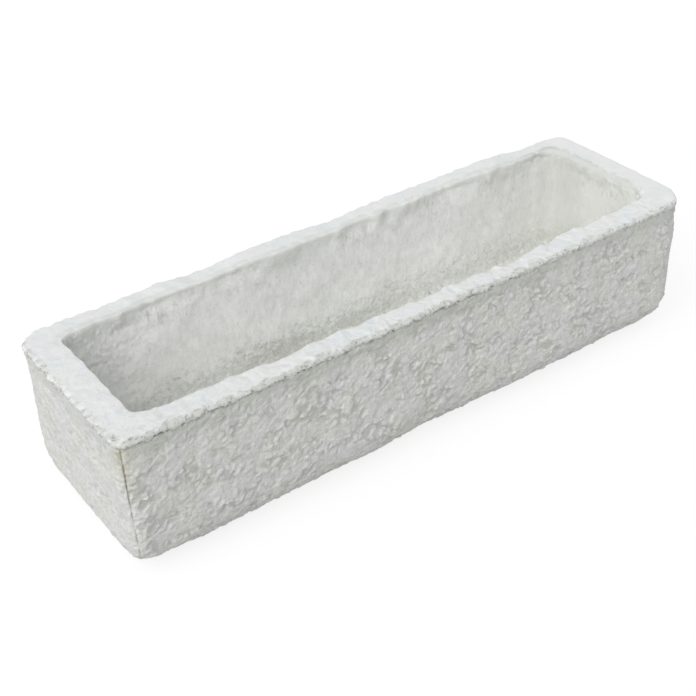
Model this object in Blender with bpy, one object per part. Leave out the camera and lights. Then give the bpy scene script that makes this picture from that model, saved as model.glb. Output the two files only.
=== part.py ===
"""A cast stone trough for flowers: a thick-walled casting with rounded lower edges, a paler band
of mortar along its rim, and the light steel cage that is cast into its walls and floor.

Frame: +X runs along the length, the front face looks along -Y and +Z is up. The origin is on the
ground, under the middle of the trough. Every length is in metres."""

import bpy
import numpy as np

# The casting, outside
LENGTH = 0.800
WIDTH = 0.245
HEIGHT = 0.190
FRONT_RIGHT_RADIUS = 0.042
BACK_RIGHT_RADIUS = 0.027
BACK_LEFT_RADIUS = 0.033
FRONT_LEFT_RADIUS = 0.017
SIDE_BASE_ROUNDING = 0.058
END_BASE_ROUNDING = 0.044

# The casting, inside
SIDE_WALL = 0.031
END_WALL = 0.039
FLOOR = 0.038
INSIDE_RADIUS = 0.012
COVE_RADIUS = 0.018
INSIDE_DRAFT = 0.003
DRAIN_DIAMETER = 0.024

# How far the cast faces lie below true: gentle waves all over, a hollow at the foot of the front
# wall and a pinched lower edge at the front left corner
UNEVEN_DEPTH = 0.0020
UNEVEN_SHORTEST = 0.056
UNEVEN_LONGEST = 0.160
UNEVEN_FADE = 0.020
UNEVEN_STATION = 0.024
UNEVEN_WAVES = 8
HOLLOW_DEPTH = 0.0045
HOLLOW_OFFSET = 0.010
HOLLOW_REACH = 0.050
PINCH_DEPTH = 0.0045
PINCH_REACH = 0.045
FOOT_HEIGHT = 0.014
LOW_HEIGHT = 0.030
HIGH_HEIGHT = 0.100

# The mortar band along the rim
RIM_THICKNESS = 0.006
RIM_OVERHANG = 0.0015
RIM_EDGE_RADIUS = 0.0025
RIM_INNER_LIP = 0.001
RIM_SCALLOP_DEPTH = 0.003
RIM_SCALLOP_LENGTH = 0.052
RIM_SCALLOP_WANDER = 0.014
RIM_RIPPLE_DEPTH = 0.0006
RIM_RIPPLE_LENGTH = 0.034
RIM_SWELL_HEIGHT = 0.0008
RIM_SWELL_LENGTH = 0.170
RIM_STATION = 0.010

# The steel cage
BAR_DIAMETER = 0.006
BAR_COVER = 0.012
HOOP_BEND_RADIUS = 0.024
STIRRUP_END_DISTANCE = 0.045
STIRRUP_COUNT = 6

# Clearance between pieces that touch, and how far a cutter runs past what it cuts
GAP = 0.0003
OVERRUN = 0.002

# How much the plan corners widen, as a share of how far the rounded base draws in
CORNER_GROWTH_SHARE = 0.35
# The largest part of the half width that a plan corner may take up
CORNER_LIMIT_SHARE = 0.95

CORNER_STEPS = 6
BASE_STEPS = 8
COVE_STEPS = 4
BEND_STEPS = 5
BAR_SIDES = 8
DRAIN_SIDES = 28
QUARTER_TURN = np.pi / 2
FULL_TURN = 2 * np.pi
GOLDEN_TURN = np.pi * (3 - np.sqrt(5))
SMOOTH_BELOW = np.radians(35)

# Places that follow from the sizes above
WALL_TOP = HEIGHT - RIM_THICKNESS - GAP
BAR_RADIUS = BAR_DIAMETER / 2
BAR_INSET = BAR_COVER + BAR_RADIUS
HOOP_HEIGHT = WALL_TOP - GAP - BAR_RADIUS
CHANNEL_FLOOR = HOOP_HEIGHT - BAR_RADIUS - GAP
LONG_BAR_HEIGHT = BAR_INSET + BAR_DIAMETER + GAP
LONG_BAR_OFFSET = WIDTH / 2 - SIDE_BASE_ROUNDING - BAR_DIAMETER
STIRRUP_REACH = LENGTH / 2 - END_WALL - STIRRUP_END_DISTANCE
STIRRUP_PLACES = np.linspace(-STIRRUP_REACH, STIRRUP_REACH, STIRRUP_COUNT)
BAY_MIDDLES = (STIRRUP_PLACES[:-1] + STIRRUP_PLACES[1:]) / 2
DRAIN_PLACES = BAY_MIDDLES[::2]

# Front right, back right, back left and front left corner: side in X, side in Y, first direction
CORNERS = ((1, -1, -QUARTER_TURN), (1, 1, 0), (-1, 1, QUARTER_TURN), (-1, -1, 2 * QUARTER_TURN))
OUTSIDE_RADII = np.array((FRONT_RIGHT_RADIUS, BACK_RIGHT_RADIUS, BACK_LEFT_RADIUS, FRONT_LEFT_RADIUS))
INSIDE_RADII = np.full(len(CORNERS), INSIDE_RADIUS)
HOOP_RADII = np.full(len(CORNERS), HOOP_BEND_RADIUS)


def clear_scene():
    for thing in list(bpy.data.objects):
        bpy.data.objects.remove(thing)


def plain_material(name, colour, roughness, metallic):
    """A Principled surface of one colour."""
    material = bpy.data.materials.new(name)
    material.use_nodes = True
    surface = material.node_tree.nodes["Principled BSDF"]
    surface.inputs["Base Color"].default_value = (*colour, 1)
    surface.inputs["Roughness"].default_value = roughness
    surface.inputs["Metallic"].default_value = metallic
    return material


def eased(share):
    """A smooth rise from 0 to 1: 3t^2 - 2t^3 of a share t, level beyond its ends."""
    share = np.clip(share, 0, 1)
    return share * share * (3 - 2 * share)


def unevenness(points):
    """How far a cast face lies below true: between nothing and the whole depth.

    Waves of unlike length run in directions that the golden angle spreads over a sphere. The tanh
    of their sum, over the root of half their number, is brought between 0 and 1. It fades out
    towards the wall tops and the ground, where the faces are true."""
    index = np.arange(UNEVEN_WAVES)
    turn = GOLDEN_TURN * index
    level = 1 - (2 * index + 1) / UNEVEN_WAVES
    flat = np.sqrt(1 - level**2)
    directions = np.stack((flat * np.cos(turn), flat * np.sin(turn), level))
    lengths = np.geomspace(UNEVEN_SHORTEST, UNEVEN_LONGEST, UNEVEN_WAVES)
    waves = np.cos(FULL_TURN * (points @ directions) / lengths + turn).sum(axis=-1)
    below = UNEVEN_DEPTH * (1 + np.tanh(waves / np.sqrt(UNEVEN_WAVES / 2))) / 2
    height = points[..., -1]
    return below * eased((WALL_TOP - height) / UNEVEN_FADE) * eased(height / FOOT_HEIGHT)


def drawn_foot(points, outward):
    """How far the foot of the casting is drawn in: bell curves about the front wall's hollow and
    about the front left corner, fading up the wall and down to the flat underside."""
    along, across, height = np.moveaxis(points, -1, 0)
    low = eased(height / FOOT_HEIGHT) * eased((HIGH_HEIGHT - height) / (HIGH_HEIGHT - LOW_HEIGHT))
    hollow = np.exp(-(((along - HOLLOW_OFFSET) / HOLLOW_REACH) ** 2)) * eased(-outward[..., 1])
    corner = np.hypot(along + LENGTH / 2, across + WIDTH / 2)
    return low * (HOLLOW_DEPTH * hollow + PINCH_DEPTH * np.exp(-((corner / PINCH_REACH) ** 2)))


def outline(end_inset, side_inset, radii, end_runs=1, side_runs=1):
    """The trough's rectangle seen from above, drawn in by two insets, with rounded corners.

    Each corner is a quarter circle and each straight is cut into equal runs. The points go round
    anticlockwise from the front right corner. Returns the points and their outward directions."""
    half_length = LENGTH / 2 - end_inset
    half_width = WIDTH / 2 - side_inset
    radii = np.minimum(radii, CORNER_LIMIT_SHARE * half_width)
    turn = QUARTER_TURN * np.arange(CORNER_STEPS + 1) / CORNER_STEPS
    arcs, directions = [], []
    for (side_x, side_y, start), radius in zip(CORNERS, radii):
        centre = np.array((side_x * (half_length - radius), side_y * (half_width - radius)))
        direction = np.column_stack((np.cos(start + turn), np.sin(start + turn)))
        arcs.append(centre + radius * direction)
        directions.append(direction)
    points, outward = [], []
    for index, runs in enumerate((end_runs, side_runs, end_runs, side_runs)):
        here = arcs[index][-1]
        there = arcs[(index + 1) % len(arcs)][0]
        share = np.arange(1, runs)[:, None] / runs
        points += [arcs[index], here + (there - here) * share]
        outward += [directions[index], np.repeat(directions[index][-1:], runs - 1, axis=0)]
    return np.concatenate(points), np.concatenate(outward)


def at_height(points, height):
    """Plan points lifted to one height, or to a height for each."""
    return np.column_stack((points, np.full(len(points), height)))


def skin(rings, joined=False):
    """Points and faces of a surface through rings of equal length.

    The ends are capped, or joined to each other where the rings themselves go round a loop."""
    rings = np.asarray(rings)
    count, around = rings.shape[:2]
    last = count if joined else count - 1
    first, ahead = np.meshgrid(np.arange(last), np.arange(around), indexing="ij")
    beside = (ahead + 1) % around
    second = (first + 1) % count
    corners = (first * around + ahead, first * around + beside,
               second * around + beside, second * around + ahead)
    faces = np.stack(corners, axis=-1).reshape(-1, len(corners)).tolist()
    if not joined:
        faces.append(list(range(around))[::-1])
        faces.append(list(range((count - 1) * around, count * around)))
    return rings.reshape(-1, rings.shape[-1]), faces


def solid(name, surface, material=None):
    """An object from points and faces, shaded smooth over its gentle edges."""
    points, faces = surface
    mesh = bpy.data.meshes.new(name)
    mesh.from_pydata(points.tolist(), [], faces)
    mesh.shade_smooth()
    mesh.set_sharp_from_angle(angle=SMOOTH_BELOW)
    thing = bpy.data.objects.new(name, mesh)
    if material:
        mesh.materials.append(material)
    bpy.context.scene.collection.objects.link(thing)
    return thing


def cut(thing, name, surface):
    """Takes a shape out of an object with a Boolean, by a hidden cutter."""
    cutter = solid(name, surface)
    cutter.hide_render = True
    cutter.display_type = "WIRE"
    modifier = thing.modifiers.new(name, "BOOLEAN")
    modifier.operation = "DIFFERENCE"
    modifier.object = cutter


def drawn_in(height, rounding):
    """How far a quarter-round lower edge of this radius has drawn in at this height."""
    below = max(rounding - height, 0)
    return rounding - np.sqrt(rounding**2 - below**2)


def casting_surface():
    """The casting in one skin: up the outside, over the wall tops and down the inside.

    Outside, each ring is the plan outline drawn in by the quarter round of the base. Inside, the
    walls lean in a little towards the floor, which they meet in a cove. Both lie unevenly."""
    runs = max(1, round(WIDTH / UNEVEN_STATION)), max(1, round(LENGTH / UNEVEN_STATION))
    largest = max(SIDE_BASE_ROUNDING, END_BASE_ROUNDING)
    turn = QUARTER_TURN * np.arange(BASE_STEPS) / BASE_STEPS
    wall_runs = max(1, round((WALL_TOP - largest) / UNEVEN_STATION))
    rings = []
    for height in [*(largest * (1 - np.cos(turn))), *np.linspace(largest, WALL_TOP, wall_runs + 1)]:
        ends = drawn_in(height, END_BASE_ROUNDING)
        sides = drawn_in(height, SIDE_BASE_ROUNDING)
        radii = OUTSIDE_RADII + CORNER_GROWTH_SHARE * (ends + sides) / 2
        plan, outward = outline(ends, sides, radii, *runs)
        face = at_height(plan, height)
        depth = unevenness(face) + drawn_foot(face, outward)
        rings.append(at_height(plan - depth[:, None] * outward, height))
    cove_top = FLOOR + COVE_RADIUS
    wall_runs = max(1, round((WALL_TOP - cove_top) / UNEVEN_STATION))
    share = np.linspace(0, 1, wall_runs + 1)
    turn = QUARTER_TURN * np.arange(1, COVE_STEPS + 1) / COVE_STEPS
    insets = [*(INSIDE_DRAFT * share), *(INSIDE_DRAFT + COVE_RADIUS * (1 - np.cos(turn)))]
    heights = [*(WALL_TOP + (cove_top - WALL_TOP) * share), *(cove_top - COVE_RADIUS * np.sin(turn))]
    for inset, height in zip(insets, heights):
        plan, outward = outline(END_WALL + inset, SIDE_WALL + inset, INSIDE_RADII, *runs)
        depth = unevenness(at_height(plan, height)) * eased((height - FLOOR) / COVE_RADIUS)
        rings.append(at_height(plan + depth[:, None] * outward, height))
    return skin(rings)


def post_surface(place, radius, low, high):
    """An upright round post on the trough's middle line."""
    angle = FULL_TURN * np.arange(DRAIN_SIDES) / DRAIN_SIDES
    plan = np.column_stack((place + radius * np.cos(angle), radius * np.sin(angle)))
    return skin([at_height(plan, low), at_height(plan, high)])


def u_path(half_span, low, high, bend):
    """A bar's line in its own plane: down one leg, round two quarter bends and up the other."""
    turn = QUARTER_TURN * np.arange(BEND_STEPS + 1) / BEND_STEPS
    across = half_span - bend * (1 - np.cos(turn))
    up = low + bend * (1 - np.sin(turn))
    right_leg = np.column_stack((across[::-1], up[::-1]))
    left_leg = np.column_stack((-across, up))
    return np.concatenate((((-half_span, high),), left_leg, right_leg, ((half_span, high),)))


def rod_rings(path, square, radius, looped=False):
    """Eight-sided sections along a flat path; square is the direction across the path's plane.

    Each section stands square to the mean direction of the path on its two sides."""
    if looped:
        ahead = np.roll(path, -1, axis=0) - np.roll(path, 1, axis=0)
    else:
        ahead = np.gradient(path, axis=0)
    ahead = ahead / np.linalg.norm(ahead, axis=1, keepdims=True)
    beside = np.cross(square, ahead)
    angle = FULL_TURN * np.arange(BAR_SIDES) / BAR_SIDES
    spoke = np.cos(angle)[None, :, None] * beside[:, None] + np.sin(angle)[None, :, None] * square
    return path[:, None] + radius * spoke


def stirrup_surface(place, radius, top):
    """A bar bent to a U across the trough: down the front wall, under the floor, up the back."""
    flat = u_path(WIDTH / 2 - BAR_INSET, BAR_INSET, top, SIDE_BASE_ROUNDING - BAR_INSET)
    path = np.column_stack((np.full(len(flat), place), flat))
    return skin(rod_rings(path, np.array((1.0, 0, 0)), radius))


def long_bar_surface(place, radius, top):
    """A bar bent to a long U: down one end wall, along the floor and up the other end."""
    flat = u_path(LENGTH / 2 - BAR_INSET, LONG_BAR_HEIGHT, top, END_BASE_ROUNDING - BAR_INSET)
    path = np.column_stack((flat[:, 0], np.full(len(flat), place), flat[:, 1]))
    return skin(rod_rings(path, np.array((0, -1.0, 0)), radius))


def hoop_surface():
    """The top bar, a closed loop in the channel along the wall tops."""
    path = at_height(outline(BAR_INSET, BAR_INSET, HOOP_RADII)[0], HOOP_HEIGHT)
    return skin(rod_rings(path, np.array((0, 0, 1.0)), BAR_RADIUS, looped=True), joined=True)


def channel_surface():
    """The channel for the top bar: a square section carried round the wall tops."""
    plan, outward = outline(BAR_INSET, BAR_INSET, HOOP_RADII)
    reach = BAR_RADIUS + 2 * GAP
    section = ((reach, CHANNEL_FLOOR), (-reach, CHANNEL_FLOOR),
               (-reach, WALL_TOP + OVERRUN), (reach, WALL_TOP + OVERRUN))
    edges = [at_height(plan + out * outward, height) for out, height in section]
    return skin(np.stack(edges, axis=1), joined=True)


def rim_surface():
    """The mortar band: a low section with rounded top edges, carried round the wall tops.

    Its inner edge bulges in scallops, the absolute value of a sine of the distance round the rim,
    and a slower sine moves them nearer together and further apart. The outer edge ripples and the
    top swells, each by a sine. The waves go round a whole number of times, so the band closes."""
    end_runs = max(1, round(WIDTH / RIM_STATION))
    side_runs = max(1, round(LENGTH / RIM_STATION))
    outer, outward = outline(0, 0, OUTSIDE_RADII, end_runs, side_runs)
    inner, inner_outward = outline(END_WALL, SIDE_WALL, INSIDE_RADII, end_runs, side_runs)
    steps = np.linalg.norm(np.roll(outer, -1, axis=0) - outer, axis=1)
    around = (np.cumsum(steps) - steps)[:, None] / steps.sum()
    scallops, ripples, swells = (
        FULL_TURN * around * max(1, round(steps.sum() / length))
        for length in (RIM_SCALLOP_LENGTH, RIM_RIPPLE_LENGTH, RIM_SWELL_LENGTH)
    )
    scallops = scallops + FULL_TURN * RIM_SCALLOP_WANDER / RIM_SCALLOP_LENGTH * np.sin(swells)
    lip = RIM_INNER_LIP + RIM_SCALLOP_DEPTH * (np.abs(np.sin(scallops / 2)) - 1 / 2)
    overhang = RIM_OVERHANG - RIM_RIPPLE_DEPTH * (1 - np.cos(ripples)) / 2
    drop = RIM_SWELL_HEIGHT * (1 - np.cos(swells)) / 2
    high = HEIGHT - drop
    low = np.full_like(high, HEIGHT - RIM_THICKNESS)
    outer_edge = outer + overhang * outward
    inner_edge = inner - lip * inner_outward
    halfway = RIM_EDGE_RADIUS * (1 - np.cos(QUARTER_TURN / 2))
    section = (
        (outer_edge, low),
        (inner_edge, low),
        (inner_edge, high - RIM_EDGE_RADIUS),
        (inner_edge + halfway * inner_outward, high - halfway),
        (inner_edge + RIM_EDGE_RADIUS * inner_outward, high),
        (outer_edge - RIM_EDGE_RADIUS * outward, high),
        (outer_edge - halfway * outward, high - halfway),
        (outer_edge, high - RIM_EDGE_RADIUS),
    )
    edges = [np.column_stack(edge) for edge in section]
    return skin(np.stack(edges, axis=1), joined=True)


def make_casting(stone):
    """The trough itself, with its drain holes and the places where the steel lies in it."""
    casting = solid("trough_body", casting_surface(), stone)
    for number, place in enumerate(DRAIN_PLACES, 1):
        hole = post_surface(place, DRAIN_DIAMETER / 2, -OVERRUN, FLOOR + OVERRUN)
        cut(casting, f"drain_cutter_{number}", hole)
    cut(casting, "channel_cutter", channel_surface())
    for number, place in enumerate(STIRRUP_PLACES, 1):
        bed = stirrup_surface(place, BAR_RADIUS + GAP, CHANNEL_FLOOR + OVERRUN)
        cut(casting, f"stirrup_bed_cutter_{number}", bed)
    for side, place in (("front", -LONG_BAR_OFFSET), ("back", LONG_BAR_OFFSET)):
        bed = long_bar_surface(place, BAR_RADIUS + GAP, CHANNEL_FLOOR + OVERRUN)
        cut(casting, f"long_bar_bed_cutter_{side}", bed)


def make_cage(steel):
    """The bars: cross stirrups, two long bars that rest on them, and the loop on top of them all."""
    for number, place in enumerate(STIRRUP_PLACES, 1):
        solid(f"stirrup_{number}", stirrup_surface(place, BAR_RADIUS, CHANNEL_FLOOR), steel)
    for side, place in (("front", -LONG_BAR_OFFSET), ("back", LONG_BAR_OFFSET)):
        solid(f"long_bar_{side}", long_bar_surface(place, BAR_RADIUS, CHANNEL_FLOOR), steel)
    solid("top_hoop_bar", hoop_surface(), steel)


def main():
    clear_scene()
    stone = plain_material("cast stone", (0.50, 0.50, 0.47), 0.92, 0)
    mortar = plain_material("rim mortar", (0.78, 0.80, 0.80), 0.88, 0)
    steel = plain_material("bar steel", (0.32, 0.29, 0.27), 0.55, 1)
    make_casting(stone)
    solid("rim_capping", rim_surface(), mortar)
    make_cage(steel)


main()
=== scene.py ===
"""The looks of a cast stone flower trough: hammered walls, a pale hand-laid band of mortar along the
rim, a plain inside with drag marks and a water stain, and the bars of the cage in their beds.

The casting shows as five closed pieces: the four sides of its outer skin, which meet at the mould
seams in the corners, and its inside with the floor and the underside. Every length is in metres, in
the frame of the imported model: +X along the length, the front face looks along -Y and +Z is up."""

import bmesh
import bpy
import numpy as np
from mathutils import Matrix, Vector


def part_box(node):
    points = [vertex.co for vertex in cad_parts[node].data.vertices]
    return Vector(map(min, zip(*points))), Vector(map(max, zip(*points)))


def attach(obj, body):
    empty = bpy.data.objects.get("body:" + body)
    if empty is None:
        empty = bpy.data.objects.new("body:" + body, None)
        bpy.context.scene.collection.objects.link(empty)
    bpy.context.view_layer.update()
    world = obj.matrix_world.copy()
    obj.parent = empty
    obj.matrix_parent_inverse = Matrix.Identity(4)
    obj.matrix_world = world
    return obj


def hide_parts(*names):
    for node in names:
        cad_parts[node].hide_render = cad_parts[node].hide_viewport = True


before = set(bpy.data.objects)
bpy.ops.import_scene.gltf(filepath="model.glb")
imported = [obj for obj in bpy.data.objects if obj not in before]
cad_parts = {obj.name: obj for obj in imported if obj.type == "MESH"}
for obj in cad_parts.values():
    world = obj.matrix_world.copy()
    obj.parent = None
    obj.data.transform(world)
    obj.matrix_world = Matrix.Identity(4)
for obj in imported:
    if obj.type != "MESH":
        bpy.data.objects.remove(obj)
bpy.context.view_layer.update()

# The casting and its band, read from the frame
CASTING_LOW, CASTING_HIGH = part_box("trough_body")
BAND_LOW, BAND_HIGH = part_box("rim_capping")
LENGTH = CASTING_HIGH.x - CASTING_LOW.x
WIDTH = CASTING_HIGH.y - CASTING_LOW.y
WALL_TOP = CASTING_HIGH.z
RIM_LOW = BAND_LOW.z
RIM_TOP = BAND_HIGH.z
RIM_DEEP = RIM_TOP - RIM_LOW
OVERHANG = BAND_HIGH.x - CASTING_HIGH.x

# The casting's own sizes, as it was built
SIDE_WALL = 0.031
END_WALL = 0.039
FLOOR = 0.038
COVE_RADIUS = 0.018
INSIDE_DRAFT = 0.003
SIDE_BASE_ROUNDING = 0.058
END_BASE_ROUNDING = 0.044
OUTSIDE_RADII = np.array((0.042, 0.027, 0.033, 0.017))
CORNER_GROWTH_SHARE = 0.35
CORNER_LIMIT_SHARE = 0.95
DRAIN_RADIUS = 0.012
DRAIN_PLACES = (-0.2528, 0.0, 0.2528)

# How far its faces lie below true, as they were built: waves all over, a hollow at the foot of the
# front wall and a pinched lower edge at the front left corner
UNEVEN_DEPTH = 0.0020
UNEVEN_LENGTHS = (0.056, 0.160)
UNEVEN_FADE = 0.020
UNEVEN_WAVES = 8
HOLLOW_DEPTH = 0.0045
HOLLOW_OFFSET = 0.010
HOLLOW_REACH = 0.050
PINCH_DEPTH = 0.0045
PINCH_REACH = 0.045
FOOT_HEIGHT = 0.014
LOW_HEIGHT = 0.030
HIGH_HEIGHT = 0.100

QUARTER_TURN = np.pi / 2
FULL_TURN = 2 * np.pi
GOLDEN_TURN = np.pi * (3 - np.sqrt(5))
# Front right, back right, back left and front left: side in X, side in Y, first direction
CORNERS = ((1, -1, -QUARTER_TURN), (1, 1, 0), (-1, 1, QUARTER_TURN), (-1, -1, 2 * QUARTER_TURN))

# How far apart the points of each surface lie, how near they are welded, how sharp an edge shows as
# one, and where the hidden side of the skin runs
OUTER_STEP = 0.00137
INNER_STEP = 0.00214
RIM_STEP = 0.0012
WELD_DISTANCE = 1e-6
SHARP_ANGLE = np.radians(70)
SHELL = 0.015
HIDDEN_HEIGHTS = (0.020, 0.070, WALL_TOP)

# Random fields: cells each way, the most that a wave's heading turns in a field and in a line, and a
# stroke's half length, half width and height, each as its least share and what chance adds
CELLS = 256
FIELD_TURN = 1.6 * np.pi
LINE_TURN = 0.32
LINE_WAVES = 24
STROKE_SHARES = ((0.36, 0.28), (0.31, 0.26), (0.20, 0.80))
STROKE_ROUNDNESS = 0.65
PLATE_SHARPNESS = 14
PLATE_SLOPE = 1.4
CREASE_SHARE = 0.24

# The hammered relief of the walls: tilted plates with creases between them, strokes that drift round
# the trough, knobs, broad facets and dents. A size is a length and a width, and waves are the
# shortest and the longest.
PLATE_HEIGHT = 0.0017
PLATE_SIZE = (0.0130, 0.0082)
PLATE_MEAN = 0.5
CREASE_DEPTH = 0.0009
CREASE_WAVES = (0.010, 0.028)
STROKE_HEIGHT = 0.00132
STROKE_SIZE = (0.0110, 0.0058)
STROKE_MEAN = 0.34
STROKE_HEADING = np.radians(-17)
STROKE_SPREAD = np.radians(38)
STROKE_DRIFT = 0.30
KNOB_HEIGHT = 0.00100
KNOB_SIZE = (0.0072, 0.0062)
KNOB_MEAN = 0.35
FACET_HEIGHT = 0.0008
FACET_WAVES = (0.010, 0.026)
DENT_DEPTH = 0.0009
DENT_SIZE = (0.0080, 0.0070)
BEND_ALONG = 0.0011
BEND_UP = 0.0013
BEND_WAVES = (0.013, 0.036)
BUSY_WAVES = (0.024, 0.080)
RELIEF_FOOT = (0.002, 0.022)
CALM_STRIP = 0.014
TOP_SINK = 0.0004
TOP_SINK_REACH = 0.0030
END_CALM_SHARE = 0.62
FAR_CALM_SHARE = 0.74
FAR_CALM_REACH = (0.120, 0.050)
CORNER_RAMP = 0.012

# The mould seams in the corners
SEAM_DEPTH = 0.0006
SEAM_WIDTH = 0.0014
SEAM_HEIGHTS = (0.010, 0.075)
FAINT_SEAM_SHARE = 0.35

# The mouth: its corners, where it is out of true, and how its edge rolls back, all round and more at
# the right end
INSIDE_RADII = np.array((0.016, 0.022, 0.012, 0.014))
MOUTH_RADII = np.array((0.034, 0.024, 0.013, 0.021))
MOUTH_DEPTH = 0.045
LEAN_FROM = 0.120
END_DRAW = 0.0016
CORNER_DRAW = 0.0036
CORNER_DRAW_REACH = 0.10
ROLL_WIDTHS = (0.0024, 0.0062)
ROLL_DEPTHS = (0.0030, 0.0060)
CUT_UNDER = 0.020

# The marks of the inside: drags, lumps, chips low down and at the left, and pocks under the lip
DRAG_HEIGHT = 0.00022
DRAG_SIZE = (0.0180, 0.0060)
LUMP_HEIGHT = 0.00012
LUMP_WAVES = (0.014, 0.030)
LOW_CHIP_HEIGHT = 0.00068
LEFT_CHIP_HEIGHT = 0.00150
CHIP_SIZE = (0.0085, 0.0060)
LIP_POCK_DEPTH = 0.0007
POCK_DEPTH = 0.0004
POCK_SIZE = (0.0110, 0.0100)
LOW_FROM = (0.085, 0.120)
LEFT_FROM = (0.20, 0.34)
LIP_FROM = (0.002, 0.006)
LIP_TO = (0.008, 0.022)
FLOOR_FADE = (0.050, 0.012)
UNDERSIDE_ROWS = 8
DRAIN_SIDES = 48
DRAIN_WOBBLE_SHARE = 0.012
DRAIN_OVERRUN = 0.003

# Where the mortar reaches into the trough, as places read along an edge and reaches there. Along
# the back half of it is drawn down over the wall instead, as far as the same line seen from above.
BACK_LAP_SHARE = 0.7
BACK_SETBACK = 0.0015
BACK_SMEAR_SHARE = 0.28
KNOT_SOFTNESS = 0.004
CRUMB_DEPTH = 0.0003
CRUMB_WAVES = (0.014, 0.045)
END_REACH = 0.0012
END_SCALLOP_DEPTH = 0.0014
END_SCALLOP_LENGTH = 0.058
FRONT_REACH = (
    (-0.348, 0.0050), (-0.324, 0.0026), (-0.300, 0.0018), (-0.276, 0.0014), (-0.252, 0.0042),
    (-0.238, 0.0006), (-0.222, 0.0016), (-0.204, -0.0022), (-0.180, -0.0020), (-0.156, 0.0006),
    (-0.132, -0.0004), (-0.119, 0.0020), (-0.108, 0.0), (-0.096, -0.0040), (-0.084, 0.0004),
    (-0.072, 0.0010), (-0.060, -0.0014), (-0.024, -0.0018), (-0.012, -0.0048), (0.0, -0.0018),
    (0.012, -0.0044), (0.024, -0.0006), (0.048, -0.0034), (0.072, -0.0002), (0.084, -0.0060),
    (0.096, -0.0008), (0.108, -0.0056), (0.132, -0.0066), (0.144, -0.0026), (0.168, -0.0004),
    (0.180, -0.0038), (0.192, 0.0006), (0.228, 0.0050), (0.240, -0.0010), (0.264, 0.0014),
    (0.288, 0.0040), (0.300, 0.0014), (0.324, 0.0045), (0.348, 0.0020),
)
BACK_REACH = (
    (-0.348, 0.0060), (-0.318, 0.0020), (-0.288, 0.0055), (-0.252, -0.0035), (-0.204, -0.0030),
    (-0.168, -0.0010), (-0.132, -0.0035), (-0.108, -0.0008), (-0.084, 0.0060), (-0.060, 0.0055),
    (-0.036, 0.0), (0.0, 0.0), (0.012, 0.0040), (0.036, -0.0045), (0.060, -0.0018), (0.072, 0.0060),
    (0.084, -0.0020), (0.108, 0.0050), (0.132, 0.0030), (0.162, -0.0040), (0.204, -0.0045),
    (0.228, -0.0010), (0.252, 0.0060), (0.276, 0.0020), (0.300, 0.0030), (0.348, 0.0010),
)
# How far the back of the rim dips, read in the same way
BACK_DIP = (
    (-0.348, 0.0012), (-0.312, 0.0020), (-0.288, 0.0030), (-0.270, 0.0008), (-0.252, 0.0020),
    (-0.228, 0.0), (-0.204, 0.0008), (-0.192, 0.0028), (-0.144, 0.0028), (-0.120, 0.0006),
    (-0.036, 0.0), (-0.012, 0.0010), (0.012, 0.0032), (0.036, 0.0020), (0.084, 0.0006),
    (0.120, 0.0), (0.288, 0.0), (0.312, 0.0020), (0.324, 0.0036), (0.360, 0.0030),
)

# The mortar band: its outer edge, its lower edge, its skirt on the wall inside, its top and its worn
# upper edge. What wanders has a depth and its shortest and longest waves, and the crumbs' depth
# grows by CRUMBS_MORE where the edge has crumbled.
BAND_INSET = 0.006
BAND_BED = 0.005
CLOSING_RAMP = 0.01
EDGE_SETBACK = 0.0009
EDGE_WANDER = (0.0006, 0.012, 0.050)
LOW_EDGE_DROP = 0.0001
LOW_EDGE_WANDER = (0.0009, 0.014, 0.060)
LOW_EDGE_LIMITS = (-0.0028, 0.0018)
CRUMBS_LEAST = (0.0003, 0.004, 0.009)
CRUMBS_MORE = 3
CRUMBLED = (1, 0.040, 0.120)
FRONT_DROP = 0.0011
FRONT_DROP_FROM = (0.05, 0.15)
SKIRT = 0.0055
SKIRT_LEAST = 0.0015
SKIRT_WANDER = (0.0020, 0.006, 0.030)
FILL_REACH = 0.022
FILL_SKIRT = 0.006
TOP_DROP = 0.0007
TOP_SWELL = 0.0005
TOP_SWELLS = 11
WORN = 0.0042
WORN_WANDER = (0.0010, 0.012, 0.040)
WORN_LIMITS = (0.0022, 0.0056)
LOWER_BEADS = ((0.0, 0.0020), (0.0005, 0.0012), (0.0016, 0.0004))
LAP_PROUD = 0.0003
LAP_SINK = 0.0018
BACK_LAP_SINK = 0.0011
EDGE_TURNS = 9
LAP_ROWS = 12
TOP_ROWS = 23

# The mortar's facets and lumps, on places that are bent first
MORTAR_BEND = 0.004
MORTAR_BEND_WAVES = (0.018, 0.060)
BROAD_FACET_HEIGHT = 0.001625
BROAD_FACET_WAVES = (0.016, 0.040)
SMALL_FACET_HEIGHTS = (0.0004, 0.0009)
SMALL_FACET_WAVES = (0.006, 0.015)
MORTAR_LUMP_HEIGHT = 0.0008
MORTAR_LUMP_SIZE = (0.0150, 0.0110)
MORTAR_CHIP_HEIGHTS = (0.0002, 0.0004)
MORTAR_CHIP_SIZE = (0.0060, 0.0044)
MORTAR_HEADING = 0.4

# Shares for the rows of the band's section: how chipped and dirty its first rows are, and how much its
# last rows take the wall's colour and painted shade, all round, at the right end and along the back
CHIPPED_SHARES = (1, 1, 1, 1, 1, 1, 0.95, 0.85, 0.72, 0.55, 0.35, 0.15)
DIRTY_SHARES = (1, 1, 1, 1, 1, 1, 1, 0.98, 0.94, 0.88, 0.80, 0.70, 0.58, 0.46, 0.33, 0.20, 0.10)
SKIRT_SHARES = (0.15, 0.30, 0.48, 0.62, 0.75, 0.88, 1, 1, 1)
END_SKIRT_SHARES = (0.30, 0.34, 0.38, 0.42, 0.46, 0.56, 0.68) + 11 * (0.80,)
BACK_SKIRT_SHARES = (0.44, 0.54, 0.62, 0.68, 0.72, 0.76, 0.78) + 13 * (0.80,)

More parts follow.
